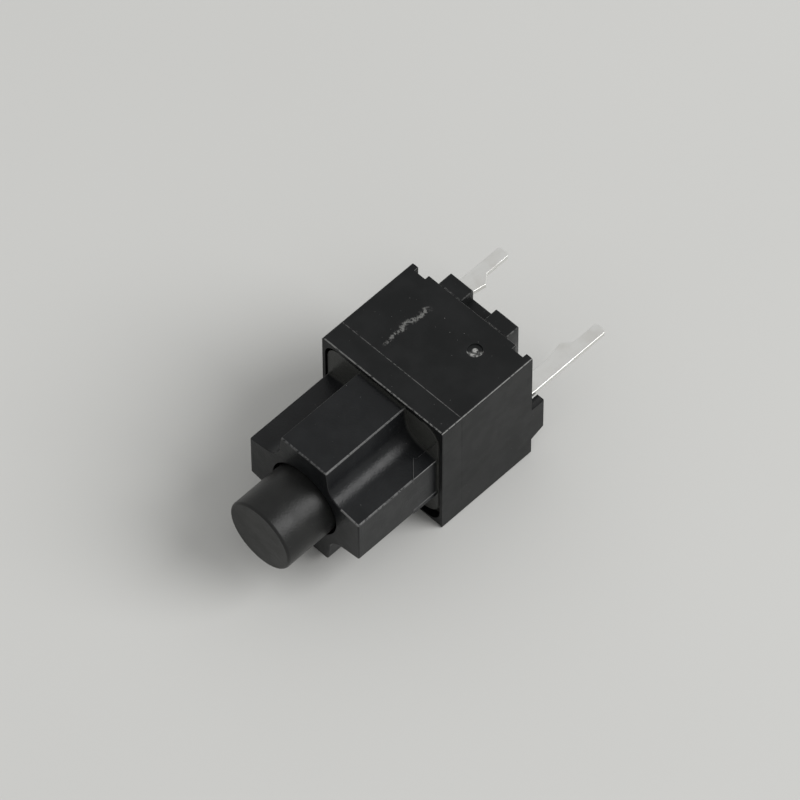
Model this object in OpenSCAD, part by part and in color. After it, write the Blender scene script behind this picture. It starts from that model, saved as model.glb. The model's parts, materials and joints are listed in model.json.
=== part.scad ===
// Push-button micro switch in a square moulded case, lying on one side.
// Button towards -Y, terminals towards +Y, Z up. The origin is the middle of
// the case's lower side. Stations along Y are counted from the case's front.

/* [Case] */
// Width of the case, side to side
body_w = 8.5; // [8:0.1:12]
// Height of the case
body_h = 8.4; // [8.2:0.1:12]
// Depth of the front frame
frame_depth = 1.4; // [1.3:0.05:3]
// Depth of the rear housing
housing_depth = 5.1; // [4.9:0.05:8]
// Radius on the long outer edges
edge_r = 0.12; // [0.05:0.01:0.3]
// Side walls of the rear housing
side_wall = 0.4; // [0.3:0.05:0.45]
// Upper and lower walls of the rear housing
top_wall = 0.7; // [0.4:0.05:0.9]
// Thickness of the partition between spring chamber and contact chamber
partition_t = 0.8; // [0.6:0.05:1]

/* [Front frame] */
// Width of the visible rim round the window
rim = 0.2; // [0.2:0.01:0.5]
// Thickness of the front lip
lip_t = 0.45; // [0.3:0.05:0.6]
// Corner radius of the window
window_r = 0.9; // [0.7:0.05:1.2]
// Visible gap beside the barrel's flange
flange_side_gap = 0.15; // [0.1:0.01:0.3]
// Visible gap above and below the flange
flange_upright_gap = 0.35; // [0.1:0.01:0.45]
// Corner radius of the flange
flange_r = 1.1; // [0.8:0.05:1.4]
// How far the flange lies behind the front of the frame
flange_recess = 0.1; // [0:0.01:0.3]

/* [Barrel] */
// Length of the ribbed barrel in front of the case
neck_len = 5.6; // [4:0.05:9]
// Diameter of the round core
core_d = 5.74; // [5.6:0.02:6.2]
// Gap between a side rib's outer face and the window's edge
rib_side_gap = 0.2; // [0.1:0.01:0.4]
// Gap between an upper or lower rib's outer face and the window's edge
rib_upright_gap = 0.2; // [0.1:0.01:0.4]
// Width of the upper and lower ribs at the outer face
upright_tip_w = 3.2; // [2:0.02:4]
// Width of the upper and lower ribs at the core
upright_root_w = 3.4; // [2:0.02:4.2]
// Thickness of the side ribs at the outer face
side_tip_w = 3; // [1.8:0.02:3.2]
// Thickness of the side ribs at the core
side_root_w = 3.3; // [1.8:0.02:3.6]
// Thickness of the barrel's front wall
front_wall = 1; // [0.6:0.05:1.6]
// Height of the low land where the side ribs enter the frame
land_h = 0.1; // [0.05:0.01:0.2]
// Length of that land at the outer face of the rib
land_len = 1.7; // [1:0.05:2.5]

/* [Button] */
// Diameter of the button
button_d = 4.2; // [3.4:0.05:4.4]
// Length of the button in front of the barrel
button_out = 3.2; // [2:0.05:5]
// Radius round the pressing face
button_edge = 0.15; // [0.05:0.01:0.4]
// How much thinner the button is inside the barrel's mouth, on the radius
waist_depth = 0.2; // [0.16:0.01:0.4]
// How far the button can be pressed
travel = 1.4; // [1.1:0.05:1.8]
// Diameter of the stem through the partition
stem_d = 2.7; // [2.4:0.05:2.8]
// Diameter of the thin end of the stem
pilot_d = 1.4; // [1.2:0.05:1.5]
// Width of the four guide keys
key_w = 1.1; // [0.8:0.05:1.6]

/* [Contacts] */
// Gap between the open contacts
contact_gap = 0.9; // [0.6:0.05:1]
// Distance of each contact from the axis, sideways
contact_x = 2.3; // [2.2:0.05:2.4]
// Distance of each contact from the axis, up or down
contact_z = 1.25; // [1.1:0.05:1.5]
// Diameter of the contact heads
contact_d = 1.1; // [0.8:0.05:1.2]
// Height of the contact heads
contact_h = 0.2; // [0.15:0.01:0.3]
// Thickness of the contact bridge
bridge_t = 0.25; // [0.15:0.01:0.3]
// Width of the contact bridge's arms
bridge_w = 1.2; // [0.8:0.05:1.6]

/* [Springs] */
// Wire of the return spring
return_wire = 0.3; // [0.2:0.01:0.32]
// Length of the return spring at rest
return_spring_len = 3.8; // [3.4:0.05:4.6]
// Wire of the contact spring
contact_wire = 0.18; // [0.12:0.01:0.2]
// Length of the contact spring at rest
contact_spring_len = 1.15; // [1.05:0.05:1.6]

/* [Terminals] */
// Gap between a blade's outer edge and the housing's side wall
blade_side_gap = 0.05; // [0.04:0.01:0.3]
// Thickness of the sheet
blade_t = 0.3; // [0.2:0.05:0.4]
// Length of the blades behind the base
blade_len = 5; // [3:0.05:8]
// Width of a blade at the base
blade_w = 0.95; // [0.8:0.05:1]
// Width of a blade at its shoulder
shoulder_w = 1.17; // [1:0.01:1.3]
// Width of a blade at its tip
tip_w = 0.72; // [0.5:0.01:0.9]

/* [Base] */
// Width of the block that stands out behind the housing
block_w = 4.8; // [4:0.1:5]
// How far that block stands out
block_out = 0.92; // [0.5:0.01:1.5]
// Width of the two upper stand-offs
tab_w = 1.6; // [1:0.02:1.8]
// Thickness of the base plate inside the housing
plate_t = 1.1; // [0.8:0.05:1.2]

/* [Feet and marks] */
// Height of the side feet above the resting side, at their lower corner
foot_z = 1.2; // [0.8:0.1:2]
// Height of the side feet
foot_h = 2.6; // [1.5:0.1:3]
// Thickness of the side feet
foot_t = 0.5; // [0.4:0.05:0.8]
// Width of the notches in the housing's rear edge
notch_w = 0.75; // [0.4:0.05:1]
// Depth of those notches
notch_depth = 0.28; // [0.1:0.01:0.5]
// Distance of a notch from the side of the case
notch_inset = 0.43; // [0.3:0.01:0.8]
// Diameter of the moulding gate's dimple
gate_d = 0.8; // [0.4:0.05:1.2]

/* [Hidden] */

$fn = 64;
CUT = 0.2;           // overshoot of a cutting tool
ARC_STEPS = 6;       // straight pieces in a rounded corner

// Clearances
fit_gap = 0.03;      // pieces that are pushed together
slide_gap = 0.05;    // pieces that slide in each other
loose_gap = 0.1;     // stem in the partition, keys in their ways
bore_gap = 0.18;     // seen round the button in the barrel's mouth
rivet_gap = 0.02;    // shank in its hole
coil_gap = 0.06;     // between the closed turns at a spring's end

// Section of the case and its windows
axis_z = body_h / 2;
window_w = body_w - 2 * rim;
window_h = body_h - 2 * rim;
pocket_r = 0.15;
inner_w = body_w - 2 * side_wall;
inner_h = body_h - 2 * top_wall;

// Reach of the flange and the ribs from the axis
flange_w = window_w - 2 * flange_side_gap;
flange_h = window_h - 2 * flange_upright_gap;
side_reach = window_w / 2 - rib_side_gap;
upright_reach = window_h / 2 - rib_upright_gap;

// Stations along the axis, from the front of the case
body_l = frame_depth + housing_depth;
spigot_len = 0.3;
partition_front = frame_depth - spigot_len;
partition_back = partition_front + partition_t;
neck_front = -neck_len;
chamber_front = neck_front + front_wall;

// Lands on the side ribs and on the flange beside them
land_inner = 2.95;
land_jog = 0.15;
land_edge = land_inner + land_jog;
land_slant = 66;     // angle of the edge on the flange
flange_land_h = 0.04;

// Button
button_r = button_d / 2;
waist_r = button_r - waist_depth;
mouth_r = button_r + bore_gap;
core_wall = 0.42;    // of the round core, round the chamber
chamber_r = core_d / 2 - core_wall;
skirt_r = chamber_r - slide_gap;
key_h = 0.55;
key_reach = skirt_r + key_h;
keyway_w = key_w + loose_gap;
keyway_reach = key_reach + loose_gap;
skirt_end = partition_front - travel;
stem_r = stem_d / 2;
stem_hole_r = stem_r + loose_gap;
pilot_r = pilot_d / 2;
return_r = stem_hole_r + return_wire / 2;
spring_pocket_r = return_r + return_wire / 2 + loose_gap;
spring_pocket_floor = partition_front - return_spring_len;
shoulder_out = 0.15; // how far the stem's shoulder stands behind the partition
stem_shoulder = partition_back + shoulder_out;

// Bridge, clip and stem end
bridge_front = stem_shoulder + contact_spring_len;
bridge_back = bridge_front + bridge_t;
contact_spring_r = (stem_r + pilot_r) / 2;
clip_t = 0.2;
clip_lip = 0.55;
clip_mouth = 0.9;
clip_r = pilot_r + clip_lip;
groove_depth = 0.2;
groove_r = pilot_r - groove_depth;
clip_back = bridge_back + clip_t;
stem_tail = 0.25;
stem_end = clip_back + stem_tail;

// Fixed side
fixed_face = bridge_back + contact_h + contact_gap;
strap_front = fixed_face + contact_h;
plate_front = strap_front + blade_t;
plate_back = plate_front + plate_t;
base_back = body_l + block_out;
well_gap = 0.2;      // room round and behind the pressed stem
well_r = clip_r + well_gap;
well_floor = stem_end + travel + well_gap;
shank_r = 0.28;
dome_share = 0.3;    // of a head's height that its domed edge takes
hub_margin = 0.5;    // of the bridge, round its hole
pad_margin = 0.15;   // of the bridge, round a contact
bridge_hub_r = pilot_r + hub_margin;
bridge_pad_r = contact_d / 2 + pad_margin;
return_turns = 6;
contact_turns = 3;
bridge_angle = atan2(contact_z, contact_x);
bridge_reach = norm([contact_x, contact_z]);

// Block, stand-offs and terminals
tab_gap = 1.6;
block_h = inner_h - 2 * fit_gap;
blade_outer = inner_w / 2 - blade_side_gap;
bend_r = blade_t / 2;
bend_centre = [station(strap_front) + bend_r + blade_t, bend_r + blade_t / 2];
strap_margin = 0.2;  // of the strap, round its contact
strap_reach = contact_d / 2 + strap_margin;
shoulder_start = 1.65;
shoulder_peak = 2.8;
shoulder_end = 3.35;
tip_chamfer = 0.12;

// Marks
gate_x = 1.8;
gate_from_back = 1.65;
gate_depth = 0.08;
gate_nub_r = 0.13;
foot_rise = 0.35;

function station(v) = v - body_l / 2;
function arc(c, r, from, to) =
    [for (i = [0:ARC_STEPS]) let (a = from + (to - from) * i / ARC_STEPS)
        c + r * [cos(a), sin(a)]];
function rounded_outline(w, h, r) = concat(
    arc([w / 2 - r, h / 2 - r], r, 0, 90),
    arc([r - w / 2, h / 2 - r], r, 90, 180),
    arc([r - w / 2, r - h / 2], r, 180, 270),
    arc([w / 2 - r, r - h / 2], r, 270, 360));

// Height of a spring's wire along its axis: closed end turns, open middle
function coil_lift(turn, turns, len, wire) =
    let (closed = wire + coil_gap,
         open = (len - wire - 2 * closed) / (turns - 2))
    wire / 2 + closed * min(turn, 1) + open * max(0, min(turn, turns - 1) - 1)
        + closed * max(0, turn - turns + 1);

// Extrudes a section drawn in X and Z from one station to another
module lengthwise(from, to)
    translate([0, station(to), axis_z])
        rotate([90, 0, 0])
            linear_extrude(to - from)
                children();

// Turns a profile of [radius, station] points round the axis
module turned(profile)
    translate([0, station(0), axis_z])
        rotate([-90, 0, 0])
            rotate_extrude()
                polygon(profile);

// A round bar or hole on an axis parallel to the button's
module round_bar(r, from, to, x = 0, z = 0)
    lengthwise(from, to)
        translate([x, z])
            circle(r);

module rounded_rect(w, h, r)
    polygon(rounded_outline(w, h, r));

module both_sides() {
    children();
    mirror([1, 0, 0]) children();
}

// Half a turn about the axis takes the right-hand metalwork to the left
module half_turn()
    translate([0, 0, axis_z])
        rotate([0, 180, 0])
            translate([0, 0, -axis_z])
                children();

// Coil of round wire round the axis between two stations
module coil(r, wire, turns, from, to, sides = 8, steps = 24) {
    rings = turns * steps;
    points = [for (i = [0:rings]) let (a = 360 * i / steps,
                  lift = coil_lift(i / steps, turns, to - from, wire))
              for (j = [0:sides - 1]) let (b = 360 * (j + 0.5) / sides,
                  reach = r + wire / 2 * cos(b))
                  [reach * cos(a), reach * sin(a), lift + wire / 2 * sin(b)]];
    skin = [for (i = [0:rings - 1], j = [0:sides - 1])
            let (k = (j + 1) % sides)
            [i * sides + j, (i + 1) * sides + j, (i + 1) * sides + k, i * sides + k]];
    ends = [[for (j = [0:sides - 1]) j],
            [for (j = [sides - 1:-1:0]) rings * sides + j]];
    translate([0, station(from), axis_z])
        rotate([-90, 0, 0])
            polyhedron(points, concat(skin, ends), convexity = 10);
}

module housing() {
    color("#232426")
    difference() {
        union() {
            lengthwise(frame_depth, body_l)
                rounded_rect(body_w, body_h, edge_r);
            lengthwise(partition_front, partition_back)
                rounded_rect(window_w - 2 * fit_gap, window_h - 2 * fit_gap, pocket_r);
            both_sides() foot();
        }
        lengthwise(partition_back, body_l + CUT)
            rounded_rect(inner_w, inner_h, pocket_r);
        round_bar(stem_hole_r, partition_front - CUT, partition_back + CUT);
        both_sides()
            translate([body_w / 2 - notch_inset - notch_w, station(body_l) - notch_depth,
                       body_h - top_wall - CUT])
                cube([notch_w, notch_depth + CUT, top_wall + 2 * CUT]);
        gate_dimple();
    }
    color("#232426") gate_nub();
}

// Stand-off that carries the side wall on behind the housing
module foot()
    translate([body_w / 2 - foot_t, 0, 0])
        rotate([90, 0, 90])
            linear_extrude(foot_t)
                polygon([[station(body_l) - side_wall, foot_z],
                         [station(body_l), foot_z],
                         [station(base_back), foot_z + foot_rise],
                         [station(base_back), foot_z + foot_h],
                         [station(body_l) - side_wall, foot_z + foot_h]]);

module gate_dimple()
    translate([gate_x, station(body_l - gate_from_back), body_h - gate_depth])
        cylinder(r = gate_d / 2, h = gate_depth + CUT);

module gate_nub()
    translate([gate_x, station(body_l - gate_from_back), body_h - gate_depth - CUT])
        cylinder(r = gate_nub_r, h = gate_depth / 2 + CUT);

module front_frame()
    color("#26272a")
    difference() {
        lengthwise(0, frame_depth)
            rounded_rect(body_w, body_h, edge_r);
        lengthwise(-CUT, lip_t + CUT)
            rounded_rect(window_w, window_h, window_r);
        lengthwise(lip_t, frame_depth + CUT)
            rounded_rect(window_w, window_h, pocket_r);
    }

module barrel()
    color("#2b2c2f")
    difference() {
        union() {
            lengthwise(lip_t, partition_front)
                rounded_rect(window_w - 2 * fit_gap, window_h - 2 * fit_gap, pocket_r);
            lengthwise(flange_recess, partition_front)
                rounded_rect(flange_w, flange_h, flange_r);
            lengthwise(neck_front, partition_front)
                barrel_section();
            both_sides() {
                rib_lands();
                flange_lands();
            }
        }
        round_bar(mouth_r, neck_front - CUT, chamber_front + CUT);
        round_bar(chamber_r, chamber_front, partition_front + CUT);
        lengthwise(chamber_front, partition_front + CUT)
            key_cross(keyway_w, keyway_reach);
    }

module barrel_section() {
    circle(core_d / 2);
    rib_pair(side_reach, side_tip_w, side_root_w);
    rotate(90) rib_pair(upright_reach, upright_tip_w, upright_root_w);
}

// Two opposite ribs, wider at the core than at the outer face
module rib_pair(reach, tip, root) {
    middle = tip / 2 + (root - tip) / 2 * reach / (reach - core_d / 2);
    polygon([[reach, -tip / 2], [reach, tip / 2], [0, middle],
             [-reach, tip / 2], [-reach, -tip / 2], [0, -middle]]);
}

// Low lands on the upper and lower faces of a side rib, cut back at 45 degrees
module rib_lands() {
    bend = station(-land_len) + side_reach - land_inner;
    translate([0, 0, axis_z - side_tip_w / 2 - land_h])
        linear_extrude(side_tip_w + 2 * land_h)
            polygon([[side_reach, station(partition_front)],
                     [side_reach, station(-land_len)],
                     [land_inner, bend],
                     [land_edge, bend + land_jog],
                     [land_edge, station(partition_front)]]);
}

// The lands carried up and down the flange, ending in a slanting edge
module flange_lands()
    lengthwise(flange_recess - flange_land_h, partition_front)
        intersection() {
            rounded_rect(flange_w, flange_h, flange_r);
            for (up = [0, 1])
                mirror([0, up])
                    polygon([[land_edge, 0], [flange_w, 0],
                             [flange_w, side_tip_w / 2
                                        + (flange_w - land_edge) * tan(land_slant)],
                             [land_edge, side_tip_w / 2]]);
        }

module key_cross(w, reach) {
    square([2 * reach, w], center = true);
    square([w, 2 * reach], center = true);
}

module button()
    color("#2e2f32")
    union() {
        difference() {
            union() {
                turned(concat(
                    [[0, neck_front - button_out]],
                    arc([button_r - button_edge, neck_front - button_out + button_edge],
                        button_edge, -90, 0),
                    [[button_r, neck_front], [waist_r, neck_front],
                     [waist_r, chamber_front], [skirt_r, chamber_front],
                     [skirt_r, skirt_end], [0, skirt_end]]));
                lengthwise(chamber_front, skirt_end)
                    key_cross(key_w, key_reach);
            }
            round_bar(spring_pocket_r, spring_pocket_floor, skirt_end + CUT);
        }
        turned([[0, chamber_front], [stem_r, chamber_front],
                [stem_r, stem_shoulder], [pilot_r, stem_shoulder],
                [pilot_r, bridge_back], [groove_r, bridge_back],
                [groove_r, clip_back], [pilot_r, clip_back],
                [pilot_r, stem_end], [0, stem_end]]);
    }

module return_spring()
    color("#b9bcc0")
    coil(return_r, return_wire, return_turns, spring_pocket_floor, partition_front);

module contact_spring()
    color("#b9bcc0")
    coil(contact_spring_r, contact_wire, contact_turns, stem_shoulder, bridge_front);

// Bar that joins the two contacts, set askew so that they balance
module contact_bridge()
    color("#b87a3d")
    lengthwise(bridge_front, bridge_back)
        rotate(bridge_angle)
            difference() {
                union() {
                    square([2 * bridge_reach, bridge_w], center = true);
                    circle(bridge_hub_r);
                    for (side = [-1, 1])
                        translate([side * bridge_reach, 0]) circle(bridge_pad_r);
                }
                circle(pilot_r + slide_gap);
                for (side = [-1, 1])
                    translate([side * bridge_reach, 0]) circle(shank_r + rivet_gap);
            }

// Contact rivet: its face, the root of its head, and the tail of its shank
module rivet(face, root, tail) {
    dome = (root - face) * dome_share;
    translate([contact_x, 0, contact_z])
        turned([[0, face], [contact_d / 2 - contact_h, face], [contact_d / 2, face + dome],
                [contact_d / 2, root], [shank_r, root], [shank_r, tail], [0, tail]]);
}

module moving_contact_right()
    color("#d3d2ca")
    rivet(bridge_back + contact_h, bridge_back, bridge_front);

module moving_contact_left()
    half_turn() moving_contact_right();

module fixed_contact_right()
    color("#d3d2ca")
    rivet(fixed_face, strap_front, plate_front);

module fixed_contact_left()
    half_turn() fixed_contact_right();

// Snap ring in the groove at the end of the stem
module retaining_clip()
    color("#c4c6c9")
    lengthwise(bridge_back, clip_back)
        difference() {
            circle(clip_r);
            circle(groove_r + rivet_gap);
            translate([0, -clip_mouth / 2]) square([clip_r + CUT, clip_mouth]);
        }

// One stamped sheet: flat blade, bend, and the strap that carries the contact
module terminal_right()
    color("#d9dadb") {
        translate([0, 0, axis_z - blade_t / 2])
            linear_extrude(blade_t)
                blade_outline();
        translate([blade_outer - blade_w, 0, axis_z])
            rotate([90, 0, 90])
                linear_extrude(blade_w)
                    polygon(concat(
                        arc(bend_centre, bend_r + blade_t, 180, 270),
                        arc(bend_centre, bend_r, 270, 180)));
        lengthwise(strap_front, plate_front)
            strap_outline();
    }

module terminal_left()
    half_turn() terminal_right();

// Blade seen from above: straight outer edge, shoulder and tip on the inner one
module blade_outline() {
    root = bend_centre[0];
    back = station(base_back);
    polygon([[blade_outer, root], [blade_outer - blade_w, root],
             [blade_outer - blade_w, back + shoulder_start],
             [blade_outer - shoulder_w, back + shoulder_peak],
             [blade_outer - tip_w, back + shoulder_end],
             [blade_outer - tip_w, back + blade_len - tip_chamfer],
             [blade_outer - tip_w + tip_chamfer, back + blade_len],
             [blade_outer - tip_chamfer, back + blade_len],
             [blade_outer, back + blade_len - tip_chamfer]]);
}

module strap_outline()
    difference() {
        polygon([[blade_outer - blade_w, bend_centre[1]], [blade_outer, bend_centre[1]],
                 [blade_outer, contact_z + strap_reach],
                 [contact_x - strap_reach, contact_z + strap_reach],
                 [contact_x - strap_reach, contact_z - strap_reach],
                 [blade_outer - blade_w, contact_z - strap_reach]]);
        translate([contact_x, contact_z]) circle(shank_r + rivet_gap);
    }

// Plate that closes the housing, with the block and stand-offs behind it
module base()
    color("#1f2022")
    difference() {
        union() {
            lengthwise(plate_front, plate_back)
                rounded_rect(inner_w - 2 * fit_gap, inner_h - 2 * fit_gap, pocket_r);
            lengthwise(plate_front, base_back)
                square([block_w, block_h], center = true);
            both_sides()
                translate([tab_gap / 2, station(body_l), axis_z])
                    cube([tab_w, block_out, body_h - axis_z]);
        }
        round_bar(well_r, plate_front - CUT, well_floor);
        blade_way();
        half_turn() blade_way();
    }

// Open groove for a blade, wider where the bend starts
module blade_way() {
    way_w = blade_w + fit_gap + CUT;
    translate([blade_outer - blade_w - fit_gap, station(plate_front) - CUT,
               axis_z - blade_t / 2 - fit_gap])
        cube([way_w, plate_t + 2 * CUT, blade_t + 2 * fit_gap]);
    translate([blade_outer - blade_w - fit_gap, station(plate_front) - CUT, axis_z])
        cube([way_w, bend_r + fit_gap + CUT, bend_centre[1] + fit_gap]);
}

housing();
front_frame();
barrel();
button();
return_spring();
contact_spring();
contact_bridge();
moving_contact_left();
moving_contact_right();
retaining_clip();
base();
terminal_left();
terminal_right();
fixed_contact_left();
fixed_contact_right();
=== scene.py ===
import json
import math

import bmesh
import bpy
from mathutils import Matrix, Vector

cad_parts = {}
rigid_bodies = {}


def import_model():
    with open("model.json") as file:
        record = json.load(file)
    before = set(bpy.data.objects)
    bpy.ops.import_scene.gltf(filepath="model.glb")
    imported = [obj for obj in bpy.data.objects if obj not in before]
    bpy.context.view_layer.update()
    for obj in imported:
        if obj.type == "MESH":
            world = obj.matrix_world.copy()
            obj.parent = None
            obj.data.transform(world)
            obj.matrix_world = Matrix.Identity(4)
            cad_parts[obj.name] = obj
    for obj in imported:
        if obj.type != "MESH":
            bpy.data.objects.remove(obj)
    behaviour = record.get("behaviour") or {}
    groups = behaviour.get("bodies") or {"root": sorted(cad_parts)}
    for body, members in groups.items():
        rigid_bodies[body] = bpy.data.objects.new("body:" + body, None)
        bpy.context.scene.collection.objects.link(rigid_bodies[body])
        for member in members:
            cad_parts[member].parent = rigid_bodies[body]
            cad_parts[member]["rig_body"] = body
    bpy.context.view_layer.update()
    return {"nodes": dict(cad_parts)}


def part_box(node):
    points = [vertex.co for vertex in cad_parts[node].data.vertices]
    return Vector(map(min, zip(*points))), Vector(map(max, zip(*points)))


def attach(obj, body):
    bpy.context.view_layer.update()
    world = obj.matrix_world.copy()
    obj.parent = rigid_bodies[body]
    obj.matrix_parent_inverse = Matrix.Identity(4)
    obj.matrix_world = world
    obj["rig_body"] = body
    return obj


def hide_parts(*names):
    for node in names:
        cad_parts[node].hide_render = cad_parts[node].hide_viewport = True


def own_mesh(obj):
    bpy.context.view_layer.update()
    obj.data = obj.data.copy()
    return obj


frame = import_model()
scene = bpy.context.scene
print("frame loaded:", len(frame["nodes"]), "nodes")

mm = 0.001                      # meshes are made in millimetres, then brought to metres
hair = 0.001                    # two places closer than this, in millimetres, are the same
mergeWithin = 0.0005
caseTop = 1000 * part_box("housing")[1].z
axisZ = caseTop / 2             # the button's axis


# camera, floor and lights

view = {
    "azimuth": 44.87,           # degrees round from the button's side
    "elevation": 55.43,
    "roll": -0.38,
    "distance": 400,
    "target": (-0.793, -1.175, 4.2),
    "lens": 354.5,
    "sensor": 36,
}


def directionFrom(azimuth, elevation):
    a = math.radians(azimuth)
    e = math.radians(elevation)
    return Vector((math.sin(a) * math.cos(e), -math.cos(a) * math.cos(e), math.sin(e)))


def addCamera(look):
    data = bpy.data.cameras.new("camera")
    data.lens = look["lens"]
    data.sensor_width = look["sensor"]
    data.clip_start = 0.01
    data.clip_end = 10
    camera = bpy.data.objects.new("camera", data)
    scene.collection.objects.link(camera)
    back = directionFrom(look["azimuth"], look["elevation"])
    camera.location = mm * (Vector(look["target"]) + look["distance"] * back)
    turn = back.to_track_quat("Z", "Y").to_matrix().to_4x4()
    roll = Matrix.Rotation(math.radians(look["roll"]), 4, "Z")
    camera.matrix_world = Matrix.Translation(camera.location) @ turn @ roll
    scene.camera = camera


addCamera(view)

light = {
    "keyFrom": (0.64, 0.40, 0.65),
    "keyDistance": 0.7,
    "keySize": 0.52,
    "keyPower": 3.7,
    "worldColour": (1.0, 1.0, 0.99),
    "worldLevel": 0.59,
}


def addAreaLight(name, place, size, power):
    data = bpy.data.lights.new(name, "AREA")
    data.shape = "DISK"
    data.size = size
    data.energy = power
    lamp = bpy.data.objects.new(name, data)
    scene.collection.objects.link(lamp)
    lamp.location = place
    lamp.rotation_euler = Vector(place).to_track_quat("Z", "Y").to_euler()


def addLights(look):
    key = Vector(look["keyFrom"]).normalized() * look["keyDistance"]
    addAreaLight("keySoftbox", key, look["keySize"], look["keyPower"])
    world = bpy.data.worlds.new("studio")
    scene.world = world
    world.use_nodes = True
    background = world.node_tree.nodes["Background"]
    background.inputs["Color"].default_value = (*look["worldColour"], 1)
    background.inputs["Strength"].default_value = look["worldLevel"]


addLights(light)
scene.view_settings.view_transform = "Standard"


# materials

class Shader:
    def __init__(self, name):
        self.material = bpy.data.materials.new(name)
        self.material.use_nodes = True
        self.tree = self.material.node_tree
        self.surface = self.tree.nodes["Principled BSDF"]
        self.place = self.node("ShaderNodeTexCoord").outputs["Object"]

    def node(self, kind, **values):
        made = self.tree.nodes.new(kind)
        for key, value in values.items():
            setattr(made, key, value)
        return made

    def link(self, start, end):
        self.tree.links.new(start, end)

    def set(self, **values):
        for key, value in values.items():
            self.surface.inputs[key.replace("_", " ")].default_value = value

    def noise(self, size, detail=3.0, stretch=(1, 1, 1)):
        # size is the size of one blotch in millimetres
        mapping = self.node("ShaderNodeMapping")
        mapping.inputs["Scale"].default_value = [s / (size * mm) for s in stretch]
        self.link(self.place, mapping.inputs["Vector"])
        made = self.node("ShaderNodeTexNoise")
        made.inputs["Scale"].default_value = 1.0
        made.inputs["Detail"].default_value = detail
        self.link(mapping.outputs["Vector"], made.inputs["Vector"])
        return made.outputs["Fac"]

    def ramp(self, value, low, high, toLow=0.0, toHigh=1.0):
        made = self.node("ShaderNodeMapRange", interpolation_type="SMOOTHSTEP")
        self.link(value, made.inputs["Value"])
        for key, number in (("From Min", low), ("From Max", high),
                            ("To Min", toLow), ("To Max", toHigh)):
            made.inputs[key].default_value = number
        return made.outputs["Result"]

    def math(self, operation, first, second):
        made = self.node("ShaderNodeMath", operation=operation)
        for socket, value in zip(made.inputs, (first, second)):
            if isinstance(value, (int, float)):
                socket.default_value = value
            else:
                self.link(value, socket)
        return made.outputs["Value"]

    def blend(self, share, first, second):
        made = self.node("ShaderNodeMix", data_type="RGBA")
        self.link(share, made.inputs["Factor"])
        for socket, value in ((made.inputs[6], first), (made.inputs[7], second)):
            if isinstance(value, tuple):
                socket.default_value = (*value, 1)
            else:
                self.link(value, socket)
        return made.outputs[2]

    def bump(self, height, depth, strength=1.0, before=None):
        made = self.node("ShaderNodeBump")
        made.inputs["Distance"].default_value = depth * mm
        made.inputs["Strength"].default_value = strength
        self.link(height, made.inputs["Height"])
        if before is not None:
            self.link(before, made.inputs["Normal"])
        return made.outputs["Normal"]

    def attribute(self, name):
        return self.node("ShaderNodeAttribute", attribute_name=name).outputs["Fac"]

    def axis(self, letter):
        split = self.node("ShaderNodeSeparateXYZ")
        self.link(self.place, split.inputs["Vector"])
        return split.outputs[letter]


mouldedPlastic = {
    # sheen is the index of refraction; the pale colour is that of specks and of rubbed edges,
    # with a painted highlight along the edges
    "case": {
        "colour": (0.0062, 0.0068, 0.0070),
        "cloud": (0.0100, 0.0106, 0.0110),
        "paleWearAndGlint": (0.18, 0.18, 0.175),
        "gloss": (0.38, 0.46),
        "grain": 0.05,
        "grainDepth": 0.003,
        "sheen": 1.29,
        "marked": True,
    },
    "barrel": {
        "colour": (0.0066, 0.0072, 0.0080),
        "cloud": (0.0105, 0.0112, 0.0122),
        "paleWearAndGlint": (0.13, 0.13, 0.13),
        "gloss": (0.28, 0.38),
        "grain": 0.12,
        "grainDepth": 0.013,
        "sheen": 1.32,
        "recess": (-3.4, -3.22),    # where the flange lies; painted light makes it paler than the ribs
        "paintedRecessLight": (0.045, 0.046, 0.043),
        "marked": False,
    },
    "button": {
        "colour": (0.0105, 0.0108, 0.0106),
        "cloud": (0.0155, 0.0158, 0.0152),
        "paleWearAndGlint": (0.09, 0.09, 0.088),
        "gloss": (0.32, 0.42),
        "grain": 0.1,
        "grainDepth": 0.01,
        "sheen": 1.32,
        "marked": False,
    },
}

plasticTexture = {
    "cloudSize": 1.6,           # sizes and depths in millimetres
    "cloudFrom": (0.35, 0.7),
    "speckSize": 0.09,
    "speckFrom": (0.79, 0.83),
    "tornSize": 0.16,           # how ragged the pale edges are, worn and with a painted highlight
    "tornFrom": (0.5, 0.8),
    "glossSize": 0.8,
    "waveSize": 1.6,
    "waveDepth": 0.004,
}

scuff = {
    "x": -1.72,                 # runs along the top, parallel to the axis
    "from": -1.3,
    "to": 2.0,
    "halfWidth": 0.24,
    "sway": 0.7,
    "colour": (0.15, 0.15, 0.145),
}

gateNubAndGlint = {
    "x": 1.8,
    "y": 1.6,
    "ring": (0.2, 0.46),        # inner and outer radius of the painted highlight sickle in the dimple
    "nub": 0.16,
    "colour": (0.34, 0.34, 0.33),
}


def multiplied(shader, factors):
    product = factors[0]
    for factor in factors[1:]:
        product = shader.math("MULTIPLY", product, factor)
    return product


def topOnly(shader):
    return shader.ramp(shader.axis("Z"), (caseTop - 0.12) * mm, (caseTop - 0.09) * mm)


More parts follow.
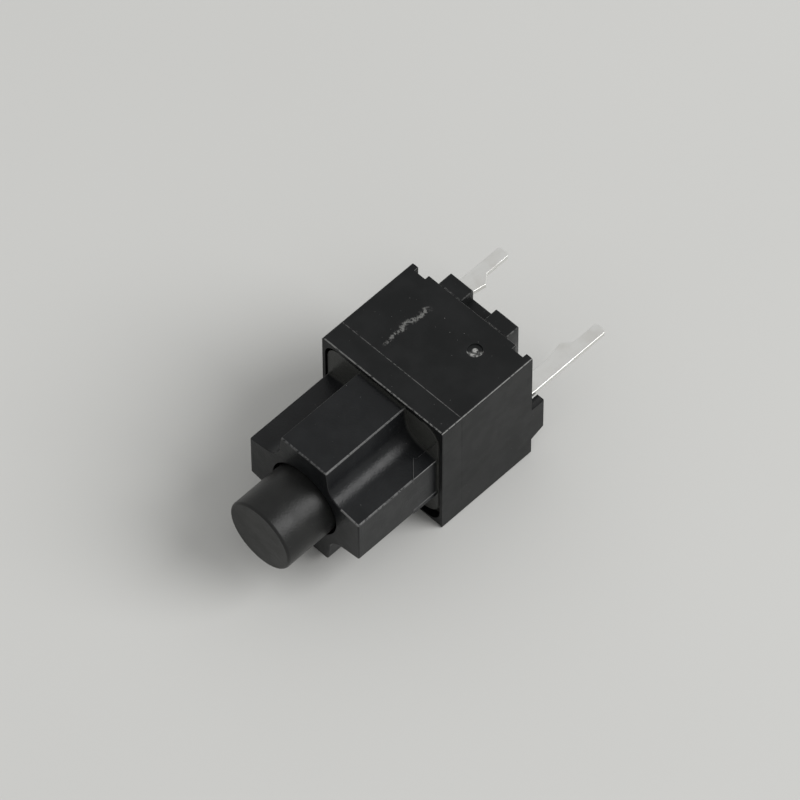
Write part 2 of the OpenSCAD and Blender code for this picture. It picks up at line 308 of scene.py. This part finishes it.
def scuffMask(shader, look):
    # a ragged, broken streak on the upper side
    bend = shader.math("SUBTRACT", shader.noise(0.9, 2), 0.5)
    sway = shader.math("MULTIPLY", bend, look["sway"] * mm)
    swayed = shader.math("ADD", shader.axis("X"), sway)
    offset = shader.math("ABSOLUTE", shader.math("SUBTRACT", swayed, look["x"] * mm), 0)
    across = shader.ramp(offset, 0.1 * look["halfWidth"] * mm, look["halfWidth"] * mm, 1, 0)
    along = shader.axis("Y")
    start = shader.ramp(along, (look["from"] - 0.3) * mm, (look["from"] + 0.5) * mm)
    end = shader.ramp(along, (look["to"] - 0.4) * mm, look["to"] * mm, 1, 0)
    flecks = shader.math("ADD", shader.noise(0.11, 6), shader.math("MULTIPLY", across, 0.16))
    broken = shader.ramp(flecks, 0.54, 0.74)
    return multiplied(shader, (across, start, end, broken, topOnly(shader)))


def gateNubAndGlintMask(shader, look):
    # whitened nub where the runner was broken off, and a painted highlight: a bright sickle on
    # one side of the dimple round it
    east = shader.math("SUBTRACT", shader.axis("X"), look["x"] * mm)
    north = shader.math("SUBTRACT", shader.axis("Y"), look["y"] * mm)
    radius = shader.math("SQRT", shader.math(
        "ADD", shader.math("MULTIPLY", east, east), shader.math("MULTIPLY", north, north)), 0)
    inner, outer = (r * mm for r in look["ring"])
    ring = multiplied(shader, (
        shader.ramp(radius, 0.85 * inner, 1.1 * inner),
        shader.ramp(radius, 0.9 * outer, outer, 1, 0),
        shader.ramp(shader.math("SUBTRACT", east, north), -0.02 * mm, 0.3 * mm),
        shader.ramp(shader.noise(0.14, 4), 0.42, 0.6, 0.15, 1)))
    nub = multiplied(shader, (
        shader.ramp(radius, 0.6 * look["nub"] * mm, 1.2 * look["nub"] * mm, 1, 0),
        shader.ramp(shader.noise(0.1, 3), 0.3, 0.45)))
    return shader.math("MULTIPLY", shader.math("MAXIMUM", ring, nub), topOnly(shader))


def plasticMaterial(name, look, texture):
    shader = Shader(name)
    clouds = shader.ramp(shader.noise(texture["cloudSize"], 4), *texture["cloudFrom"])
    colour = shader.blend(clouds, look["colour"], look["cloud"])
    specks = shader.ramp(shader.noise(texture["speckSize"], 1), *texture["speckFrom"])
    colour = shader.blend(specks, colour, look["paleWearAndGlint"])
    # pale edges: partly real wear, partly a painted highlight along the rounded edges
    edge = shader.attribute("edgeWearAndHighlight")
    torn = shader.math("ADD", shader.noise(texture["tornSize"], 4),
                       shader.math("MULTIPLY", edge, 0.3))
    wearAndGlint = shader.math("MULTIPLY", edge, shader.ramp(torn, *texture["tornFrom"]))
    colour = shader.blend(wearAndGlint, colour, look["paleWearAndGlint"])
    # painted light: the recessed flange is coloured paler than its shade would leave it
    if "recess" in look:
        start, end = (y * mm for y in look["recess"])
        paintedLightShare = shader.ramp(shader.axis("Y"), start, end)
        colour = shader.blend(paintedLightShare, colour, look["paintedRecessLight"])
    if look["marked"]:
        colour = shader.blend(scuffMask(shader, scuff), colour, scuff["colour"])
        # gate: whitened nub and a painted highlight sickle
        colour = shader.blend(gateNubAndGlintMask(shader, gateNubAndGlint), colour, gateNubAndGlint["colour"])
    shader.link(colour, shader.surface.inputs["Base Color"])
    rough = shader.ramp(shader.noise(texture["glossSize"], 3), 0.3, 0.7, *look["gloss"])
    shader.link(rough, shader.surface.inputs["Roughness"])
    shader.set(IOR=look["sheen"])
    waves = shader.bump(shader.noise(texture["waveSize"], 2), texture["waveDepth"])
    grain = shader.bump(shader.noise(look["grain"], 2), look["grainDepth"], before=waves)
    shader.link(grain, shader.surface.inputs["Normal"])
    return shader.material


sheetMetal = {
    "tin": {
        "colour": (0.86, 0.86, 0.84),
        "dull": (0.78, 0.77, 0.74),
        "gloss": (0.3, 0.42),
        "streak": (0.05, 1.6, 0.05),
        "blotch": 1.1,
    },
    "silver": {
        "colour": (0.90, 0.88, 0.84),
        "dull": (0.66, 0.62, 0.56),
        "gloss": (0.2, 0.36),
        "streak": (0.2, 0.2, 0.2),
        "blotch": 0.3,
    },
    "bronze": {
        "colour": (0.72, 0.43, 0.22),
        "dull": (0.45, 0.24, 0.12),
        "gloss": (0.26, 0.42),
        "streak": (0.9, 0.05, 0.05),
        "blotch": 0.6,
    },
    "spring": {
        "colour": (0.60, 0.60, 0.61),
        "dull": (0.36, 0.35, 0.34),
        "gloss": (0.22, 0.38),
        "streak": (0.06, 0.06, 0.06),
        "blotch": 0.4,
    },
}


def metalMaterial(name, look):
    shader = Shader(name)
    tarnish = shader.ramp(shader.noise(look["blotch"], 4), 0.42, 0.75)
    colour = shader.blend(tarnish, look["colour"], look["dull"])
    shader.link(colour, shader.surface.inputs["Base Color"])
    streaks = shader.noise(1.0, 3, [1 / s for s in look["streak"]])
    rough = shader.ramp(streaks, 0.3, 0.7, *look["gloss"])
    shader.link(rough, shader.surface.inputs["Roughness"])
    shader.set(Metallic=1.0)
    rolled = shader.bump(streaks, 0.004)
    shader.link(rolled, shader.surface.inputs["Normal"])
    return shader.material


floorLook = {
    "size": 3.0,
    "colour": (0.60, 0.60, 0.585),
    "patch": (0.57, 0.57, 0.555),
    "patchSize": 30,
    "roughness": 0.85,
}


def addFloor(look):
    bm = bmesh.new()
    bmesh.ops.create_grid(bm, x_segments=1, y_segments=1, size=look["size"] / 2)
    mesh = bpy.data.meshes.new("floor")
    bm.to_mesh(mesh)
    bm.free()
    floor = bpy.data.objects.new("floor", mesh)
    scene.collection.objects.link(floor)
    shader = Shader("paperFloor")
    colour = shader.blend(shader.noise(look["patchSize"], 2), look["colour"], look["patch"])
    shader.link(colour, shader.surface.inputs["Base Color"])
    shader.set(Roughness=look["roughness"])
    mesh.materials.append(shader.material)


addFloor(floorLook)
finish = {}
for finishName, look in mouldedPlastic.items():
    finish[finishName] = plasticMaterial(finishName + "Plastic", look, plasticTexture)
for finishName, look in sheetMetal.items():
    finish[finishName] = metalMaterial(finishName + "Metal", look)
print("studio and", len(finish), "finishes ready")


# pieces that keep their moulded or stamped form, with true rounded edges

def bodyOf(nodeName):
    return frame["nodes"][nodeName]["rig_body"]


def closePiece(bm, name, finishName, nodeName):
    bmesh.ops.scale(bm, verts=bm.verts, vec=(mm, mm, mm))
    mesh = bpy.data.meshes.new(name)
    bm.to_mesh(mesh)
    bm.free()
    mesh.materials.append(finish[finishName])
    piece = bpy.data.objects.new(name, mesh)
    scene.collection.objects.link(piece)
    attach(piece, bodyOf(nodeName))
    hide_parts(nodeName)
    return piece


def keepFacesTrue(piece, together=25, roundTheEdge=70):
    # flat faces keep their own normal, and only the rounded edges turn the light
    mesh = piece.data
    rounded = [value.value > 0 for value in mesh.attributes["edgeWearAndHighlight"].data]
    flatRound = [[] for _ in mesh.vertices]
    allRound = [Vector() for _ in mesh.vertices]
    for face in mesh.polygons:
        for corner in face.vertices:
            allRound[corner] += face.normal
            if not rounded[face.index]:
                flatRound[corner].append((face.normal.copy(), face.area))
    normals = [None] * len(mesh.loops)
    for face in mesh.polygons:
        limit = math.cos(math.radians(roundTheEdge if rounded[face.index] else together))
        for loop, corner in zip(face.loop_indices, face.vertices):
            total = Vector()
            for normal, area in flatRound[corner]:
                if normal.dot(face.normal) > limit:
                    total += normal * area
            if total.length == 0:
                total = allRound[corner] if rounded[face.index] else face.normal
            normals[loop] = total.normalized()
    mesh.normals_split_custom_set(normals)


def mergedCopy(nodeName):
    bm = bmesh.new()
    bm.from_mesh(frame["nodes"][nodeName].data)
    bmesh.ops.scale(bm, verts=bm.verts, vec=(1 / mm, 1 / mm, 1 / mm))
    bmesh.ops.remove_doubles(bm, verts=bm.verts, dist=mergeWithin)
    bmesh.ops.dissolve_limit(bm, angle_limit=math.radians(0.6), verts=bm.verts, edges=bm.edges)
    return bm


def wearAndGlintLayer(bm):
    layers = bm.faces.layers.float
    return layers["edgeWearAndHighlight"] if "edgeWearAndHighlight" in layers else layers.new("edgeWearAndHighlight")


def roundEdges(bm, look, radius=None, chosen=None, fromAngle=28):
    wearAndGlint = wearAndGlintLayer(bm)
    limit = math.radians(fromAngle)
    sharp = [e for e in bm.edges if e.is_manifold and e.is_convex
             and e.calc_face_angle() > limit and (chosen is None or chosen(e))]
    made = bmesh.ops.bevel(bm, geom=sharp, offset=radius or look["radius"],
                           offset_type="OFFSET", segments=2, profile=0.5, affect="EDGES",
                           clamp_overlap=chosen is None, material=-1)
    # rounded edges are painted pale by region: wear, with a painted highlight along them
    for face in made["faces"]:
        face[wearAndGlint] = max(0.02, wearAndGlintAt(face, look))


def wearAndGlintAt(face, look):
    middle = face.calc_center_median()
    return max([amount for low, high, amount in look.get("paleWearAndGlint", ())
                if all(a <= v <= b for a, v, b in zip(low, middle, high))], default=0.0)


def wearAndGlintOnCurves(bm, look, flattest=0.87):
    # corners that come rounded from the mould are painted pale along their middle: rubbed, and
    # with a painted highlight where the light catches them
    wearAndGlint = wearAndGlintLayer(bm)
    bm.normal_update()
    for face in bm.faces:
        if face[wearAndGlint] == 0 and max(abs(n) for n in face.normal) < flattest:
            face[wearAndGlint] = wearAndGlintAt(face, look)


def shadeByAngle(bm, limit=40):
    for face in bm.faces:
        face.smooth = True
    for edge in bm.edges:
        edge.smooth = not (edge.is_manifold and edge.calc_face_angle() > math.radians(limit))


softened = {
    # pale edges: low corner, high corner, how far the edges there are painted pale, partly
    # wear and partly painted highlight
    "housing": {"piece": "housingShell", "finish": "case", "radius": 0.05,
                "outside": 0.08, "atSeam": 0.03, "seam": "low", "paleWearAndGlint": (
        ((4.0, -1.8, 8.2), (4.3, 3.3, 8.45), 1.0),
        ((-4.3, 3.0, 8.0), (4.3, 3.3, 8.45), 0.8),
        ((-4.3, -1.9, 8.2), (4.3, -1.7, 8.45), 0.6),
    )},
    "front_frame": {"piece": "windowFrame", "finish": "case", "radius": 0.05,
                    "outside": 0.08, "atSeam": 0.03, "seam": "high", "paleWearAndGlint": (
        ((4.0, -3.3, 8.2), (4.3, -1.8, 8.45), 1.0),
        ((-4.3, -3.3, 8.2), (4.3, -3.1, 8.45), 0.7),
        ((-4.3, -1.9, 8.2), (4.3, -1.8, 8.45), 0.6),
    )},
    "button": {"piece": "pushButton", "finish": "button", "radius": 0.04,
               "waist": {"radii": (1.9, 2.1), "between": (-8.9, -7.8),
                         "skirtEnd": -3.55, "shorter": 0.02},
               "paleWearAndGlint": (
        ((-2.2, -12.1, 4.6), (0.4, -11.85, 6.4), 0.5),
    )},
    "base": {"piece": "rearBase", "finish": "case", "radius": 0.06, "paleWearAndGlint": (
        ((-2.5, 3.2, 8.2), (2.5, 4.3, 8.45), 0.45),
    )},
    "terminal_left": {"piece": "bladeLeft", "finish": "tin", "radius": 0.03},
    "terminal_right": {"piece": "bladeRight", "finish": "tin", "radius": 0.03},
    "contact_bridge": {"piece": "bridgeBar", "finish": "bronze", "radius": 0.02},
    "moving_contact_left": {"piece": "movingRivetLeft", "finish": "silver", "radius": 0.02},
    "moving_contact_right": {"piece": "movingRivetRight", "finish": "silver", "radius": 0.02},
    "fixed_contact_left": {"piece": "fixedRivetLeft", "finish": "silver", "radius": 0.02},
    "fixed_contact_right": {"piece": "fixedRivetRight", "finish": "silver", "radius": 0.02},
    "retaining_clip": {"piece": "stemClip", "finish": "spring", "radius": 0.02},
}


def fillWaist(bm, waist):
    # the neck inside the barrel's mouth is made as thick as the rest of the button,
    # and the skirt a hair shorter, so that it clears the housing when pressed
    narrow, full, start, end = waist["radii"] + waist["between"]
    for v in bm.verts:
        radius = math.hypot(v.co.x, v.co.z - axisZ)
        if abs(radius - narrow) < 20 * hair and start < v.co.y < end:
            v.co.x *= full / radius
            v.co.z = axisZ + (v.co.z - axisZ) * full / radius
        if abs(v.co.y - waist["skirtEnd"]) < 5 * hair:
            v.co.y -= waist["shorter"]
    bmesh.ops.remove_doubles(bm, verts=bm.verts, dist=mergeWithin)
    bm.normal_update()


def roundOutside(bm, look):
    # long outer edges first, wide, then the edges along the seam, fine
    low = [min(v.co[i] for v in bm.verts) for i in range(3)]
    high = [max(v.co[i] for v in bm.verts) for i in range(3)]

    def onFaces(edge):
        return [(i, side) for i in range(3) for side, bound in (("low", low), ("high", high))
                if all(abs(v.co[i] - bound[i]) < 3 * hair for v in edge.verts)]

    seam = (1, look["seam"])
    roundEdges(bm, look, look["outside"],
               lambda e: len(onFaces(e)) > 1 and seam not in onFaces(e))
    roundEdges(bm, look, look["atSeam"], lambda e: len(onFaces(e)) > 1 and seam in onFaces(e))


def addSoftened(nodeName, look):
    bm = mergedCopy(nodeName)
    if "outside" in look:
        roundOutside(bm, look)
        wearAndGlintOnCurves(bm, look)
    if "waist" in look:
        fillWaist(bm, look["waist"])
    roundEdges(bm, look)
    shadeByAngle(bm)
    keepFacesTrue(closePiece(bm, look["piece"], look["finish"], nodeName))


for nodeName, look in softened.items():
    addSoftened(nodeName, look)
print("moulded and stamped pieces:", len(softened))


# barrel: four ribs round the button, a flange in the window and low lands

barrelLook = {
    "piece": "ribbedBarrel",
    "finish": "barrel",
    "front": -8.85,
    "flangeFront": -3.15,
    "plateFront": -2.8,
    "plateBack": -2.15,
    "side": (1.5, 3.85, 8.7),       # half thickness at the tip, reach, draft in degrees
    "upright": (1.6, 3.8, 6.1),
    "hollow": 1.15,                 # radius where two ribs run into each other
    "mouth": 2.24,
    "mouthPoints": 96,
    "hollowSteps": 16,
    "cornerSteps": 8,
    "frontWall": 1.0,
    "chamber": 2.45,
    "keyway": (0.65, 3.05),         # half width and reach
    "plate": ((-4.02, 4.02), (-3.97, 3.97), (0.15, 0.15, 0.15, 0.15)),
    "flange": ((-3.99, 3.9), (-3.65, 3.68), (1.1, 0.92, 1.1, 1.1)),
    "flangeLean": 0.07,             # the flange's upper edge rises to the left
    "landHeight": 0.05,
    # the lands' corners, seen from above and from the front
    "land": ((3.87, -4.97), (2.95, -4.05), (3.1, -3.9), (3.1, -3.0), (3.87, -3.0)),
    "flangeLand": ((3.1, 0), (3.88, 0), (3.88, 2.55), (3.84, 2.82), (3.76, 3.0), (3.1, 1.5)),
    "landDepth": 0.3,               # how far the lands reach into the rib
    "flangeLandDepth": 0.2,
    "landEdge": 0.035,
    "landSharp": 0.3,               # radians between faces that make an edge
    "flangeEdge": 0.03,
    "mouthEdge": 0.04,
    "radius": 0.08,
    "paleWearAndGlint": (                       # low corner, high corner, share of painted pale edge: wear and painted highlight
        ((-1.8, -8.95, 7.8), (1.8, -8.6, 8.1), 0.6),
        ((1.4, -8.9, 7.8), (1.75, -3.2, 8.1), 1.0),
        ((2.6, -8.95, 5.4), (4.0, -8.6, 5.95), 1.0),
        ((3.6, -8.9, 5.4), (4.0, -3.2, 5.95), 0.8),
        ((2.8, -5.2, 5.6), (4.0, -3.0, 8.0), 0.9),
        ((-4.0, -8.95, 5.4), (-3.4, -8.6, 5.95), 0.5),
        ((-4.0, -3.2, 6.5), (4.0, -3.0, 8.0), 0.35),
    ),
}


def arcPoints(middle, radius, start, end, steps):
    angles = (math.radians(start + (end - start) * i / steps) for i in range(steps + 1))
    return [(middle[0] + radius * math.cos(a), middle[1] + radius * math.sin(a))
            for a in angles]


def circlePoints(radius, count):
    return arcPoints((0, 0), radius, 0, 360 - 360 / count, count - 1)


def fourWays(quarter):
    # a quarter of an outline, mirrored round the axis
    back = quarter[::-1]
    return (quarter + [(-x, z) for x, z in back] + [(-x, -z) for x, z in quarter]
            + [(x, -z) for x, z in back])


def ribOutline(look):
    tipX, reachZ, draftZ = look["upright"]
    tipZ, reachX, draftX = look["side"]
    slopeZ, slopeX = math.tan(math.radians(draftZ)), math.tan(math.radians(draftX))
    lineZ = tipX + reachZ * slopeZ + look["hollow"] / math.cos(math.radians(draftZ))
    lineX = tipZ + reachX * slopeX + look["hollow"] / math.cos(math.radians(draftX))
    middleX = (lineZ - lineX * slopeZ) / (1 - slopeX * slopeZ)
    middle = (middleX, lineX - middleX * slopeX)
    hollow = arcPoints(middle, look["hollow"], 270 - draftX, 180 + draftZ,
                       look["hollowSteps"])
    return fourWays([(reachX, tipZ)] + hollow + [(tipX, reachZ)])


def chamberOutline(look):
    half, reach = look["keyway"]
    start = math.degrees(math.asin(half / look["chamber"]))
    wall = arcPoints((0, 0), look["chamber"], start, 90 - start, look["cornerSteps"])
    return fourWays([(reach, half)] + wall + [(half, reach)])


def roundedOutline(form, steps, lean=0.0):
    (left, right), (low, high), radii = form
    corners = ((right, high, 0), (left, high, 90), (left, low, 180), (right, low, 270))
    points = []
    for (x, z, start), radius in zip(corners, radii):
        middle = (x - math.copysign(radius, x), z - math.copysign(radius, z))
        points += arcPoints(middle, radius, start, start + 90, steps)
    return [(x, z + lean * (0.5 - x / (right - left)) if z > 0 else z) for x, z in points]


def addLoop(bm, outline, y):
    verts = [bm.verts.new((x, y, axisZ + z)) for x, z in outline]
    return [bm.edges.new((a, b)) for a, b in zip(verts, verts[1:] + verts[:1])]


def addWall(bm, loop, y):
    made = bmesh.ops.extrude_edge_only(bm, edges=loop)["geom"]
    verts = [g for g in made if isinstance(g, bmesh.types.BMVert)]
    bmesh.ops.translate(bm, verts=verts, vec=(0, y - loop[0].verts[0].co.y, 0))
    return [g for g in made if isinstance(g, bmesh.types.BMEdge)
            and all(v in verts for v in g.verts)]


def addRing(bm, first, second):
    bmesh.ops.triangle_fill(bm, edges=first + second, use_beauty=True, normal=(0, -1, 0))


def addSlab(bm, low, high):
    # closed slab between two outlines with the same number of points
    bottom = [bm.verts.new(p) for p in low]
    top = [bm.verts.new(p) for p in high]
    faces = [bm.faces.new(bottom[::-1]), bm.faces.new(top)]
    count = len(low)
    for i in range(count):
        j = (i + 1) % count
        faces.append(bm.faces.new((bottom[i], bottom[j], top[j], top[i])))
    return faces


def addLands(bm, look):
    # low lands on the right rib, and on the flange beside it
    wearAndGlint = wearAndGlintLayer(bm)
    tip, reach, draft = look["side"]
    slope = math.tan(math.radians(draft))
    rise = look["landHeight"]
    front = look["flangeFront"]
    depth = look["landDepth"]
    made = []

    def onRib(up, lift):
        return [(x, y, axisZ + up * (tip + (reach - x) * slope + lift))
                for x, y in look["land"]]

    def onFlange(up, y):
        return [(x, y, axisZ + up * z) for x, z in look["flangeLand"]]

    for up in (-1, 1):
        made += addSlab(bm, onRib(up, -depth), onRib(up, rise))
        made += addSlab(bm, onFlange(up, front + look["flangeLandDepth"]),
                        onFlange(up, front - rise))
    bmesh.ops.recalc_face_normals(bm, faces=made)
    edges = {e for f in made for e in f.edges if e.calc_face_angle() > look["landSharp"]}
    rounded = bmesh.ops.bevel(bm, geom=list(edges), offset=look["landEdge"],
                              offset_type="OFFSET", segments=1, profile=0.5,
                              affect="EDGES", material=-1)
    # the lands' rounded steps are painted fully pale: a painted highlight along them, with
    # some wear
    for face in rounded["faces"]:
        face[wearAndGlint] = 1.0


def addBarrel(look):
    bm = bmesh.new()
    ribs = addLoop(bm, ribOutline(look), look["front"])
    mouth = addLoop(bm, circlePoints(look["mouth"], look["mouthPoints"]), look["front"])
    addRing(bm, ribs, mouth)
    ribsBack = addWall(bm, ribs, look["flangeFront"])
    flangeOutline = roundedOutline(look["flange"], look["cornerSteps"], look["flangeLean"])
    flange = addLoop(bm, flangeOutline, look["flangeFront"])
    addRing(bm, ribsBack, flange)
    flangeBack = addWall(bm, flange, look["plateFront"])
    plateOutline = roundedOutline(look["plate"], look["cornerSteps"])
    plate = addLoop(bm, plateOutline, look["plateFront"])
    addRing(bm, flangeBack, plate)
    plateBack = addWall(bm, plate, look["plateBack"])
    wallBack = look["front"] + look["frontWall"]
    mouthBack = addWall(bm, mouth, wallBack)
    chamber = addLoop(bm, chamberOutline(look), wallBack)
    addRing(bm, mouthBack, chamber)
    addRing(bm, addWall(bm, chamber, look["plateBack"]), plateBack)
    bmesh.ops.recalc_face_normals(bm, faces=bm.faces)
    bm.normal_update()

    def atFront(edge):
        return min(v.co.y for v in edge.verts) < look["front"] + hair

    def onMouth(edge):
        return all(math.hypot(v.co.x, v.co.z - axisZ) < look["mouth"] + 10 * hair
                   for v in edge.verts)

    def onFlange(edge):
        return all(abs(v.co.y - look["flangeFront"]) < hair for v in edge.verts)

    roundEdges(bm, look, look["flangeEdge"], onFlange)
    roundEdges(bm, look, look["mouthEdge"], lambda e: atFront(e) and onMouth(e))
    roundEdges(bm, look, None, lambda e: atFront(e) and not onMouth(e))

    addLands(bm, look)
    shadeByAngle(bm)
    keepFacesTrue(closePiece(bm, look["piece"], look["finish"], "barrel"))


addBarrel(barrelLook)
print("barrel built")


# springs, wound turn by turn

returnCoil = {
    "piece": "returnCoil",
    "wire": 0.3,
    "turns": 6,
    "gap": 0.06,
    "finish": "spring",
    "keep": 0.632,              # share of the length when the button is fully pressed
}
contactCoil = {
    "piece": "contactCoil",
    "wire": 0.18,
    "turns": 3,
    "gap": 0.06,
    "finish": "spring",
    "keep": 0.565,
}
stepsPerTurn = 40


def windCoil(nodeName, look):
    low, high = (1000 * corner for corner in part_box(nodeName))
    wire = look["wire"]
    radius = (high.x - low.x) / 2 - wire / 2
    closedPitch = wire + look["gap"]
    openPitch = (high.y - low.y - wire - 2 * closedPitch) / (look["turns"] - 2)
    bm = bmesh.new()
    ring = bmesh.ops.create_circle(bm, segments=12, radius=wire / 2)["verts"]
    start = Matrix.Translation((radius, low.y + wire / 2, axisZ))
    bmesh.ops.transform(bm, matrix=start, verts=ring)
    geom = ring + list(bm.edges)
    stages = ((1, closedPitch), (look["turns"] - 2, openPitch), (1, closedPitch))
    for turns, pitch in stages:
        made = bmesh.ops.spin(bm, geom=geom, cent=(0, 0, axisZ), axis=(0, 1, 0),
                              dvec=(0, pitch / stepsPerTurn, 0), angle=2 * math.pi * turns,
                              steps=stepsPerTurn * turns, use_merge=False)
        geom = made["geom_last"]
    bmesh.ops.remove_doubles(bm, verts=bm.verts, dist=mergeWithin)
    bmesh.ops.holes_fill(bm, edges=[e for e in bm.edges if e.is_boundary], sides=0)
    bmesh.ops.recalc_face_normals(bm, faces=bm.faces)
    shadeByAngle(bm)
    piece = closePiece(bm, look["piece"], look["finish"], nodeName)
    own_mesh(piece)


windCoil("return_spring", returnCoil)
windCoil("contact_spring", contactCoil)
print("springs wound")
